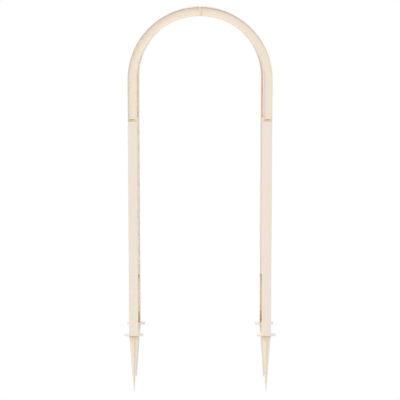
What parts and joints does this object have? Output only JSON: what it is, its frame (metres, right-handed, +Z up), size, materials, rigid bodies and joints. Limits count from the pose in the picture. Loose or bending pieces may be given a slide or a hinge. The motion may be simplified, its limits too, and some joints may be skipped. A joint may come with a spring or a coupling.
{
  "type": "rose arch",
  "caption": "Free-standing garden arch for climbing roses: round-topped hoops of moulded channel, ladder sides, bars round the top and ground spikes with step plates.",
  "frame": {"origin": "on the ground, midway between the four feet: the plane of the step plates' undersides", "axes": "+X to the right as seen from the front, +Y to the rear, along the way through the arch, +Z up"},
  "size_m": [0.992, 0.4, 2.515],
  "materials": {
    "cream_plastic": "satin, moulded"
  },
  "bodies": {
    "root": {"front_apex_pin": "cream_plastic", "front_left_arch_rail": "cream_plastic", "front_left_ground_spike": "cream_plastic", "front_left_joint_sleeve": "cream_plastic", "front_left_ladder_stile": "cream_plastic", "front_left_post": "cream_plastic", "front_right_arch_rail": "cream_plastic", "front_right_ground_spike": "cream_plastic", "front_right_joint_sleeve": "cream_plastic", "front_right_ladder_stile": "cream_plastic", "front_right_post": "cream_plastic", "left_arch_rungs": "cream_plastic", "left_rung_1": "cream_plastic", "left_rung_2": "cream_plastic", "left_rung_3": "cream_plastic", "left_rung_4": "cream_plastic", "left_rung_5": "cream_plastic", "left_rung_6": "cream_plastic", "left_rung_7": "cream_plastic", "left_rung_8": "cream_plastic", "left_rung_9": "cream_plastic", "rear_apex_pin": "cream_plastic", "rear_left_arch_rail": "cream_plastic", "rear_left_ground_spike": "cream_plastic", "rear_left_joint_sleeve": "cream_plastic", "rear_left_ladder_stile": "cream_plastic", "rear_left_post": "cream_plastic", "rear_right_arch_rail": "cream_plastic", "rear_right_ground_spike": "cream_plastic", "rear_right_joint_sleeve": "cream_plastic", "rear_right_ladder_stile": "cream_plastic", "rear_right_post": "cream_plastic", "right_arch_rungs": "cream_plastic", "right_rung_1": "cream_plastic", "right_rung_2": "cream_plastic", "right_rung_3": "cream_plastic", "right_rung_4": "cream_plastic", "right_rung_5": "cream_plastic", "right_rung_6": "cream_plastic", "right_rung_7": "cream_plastic", "right_rung_8": "cream_plastic", "right_rung_9": "cream_plastic"}
  },
  "joints": []
}
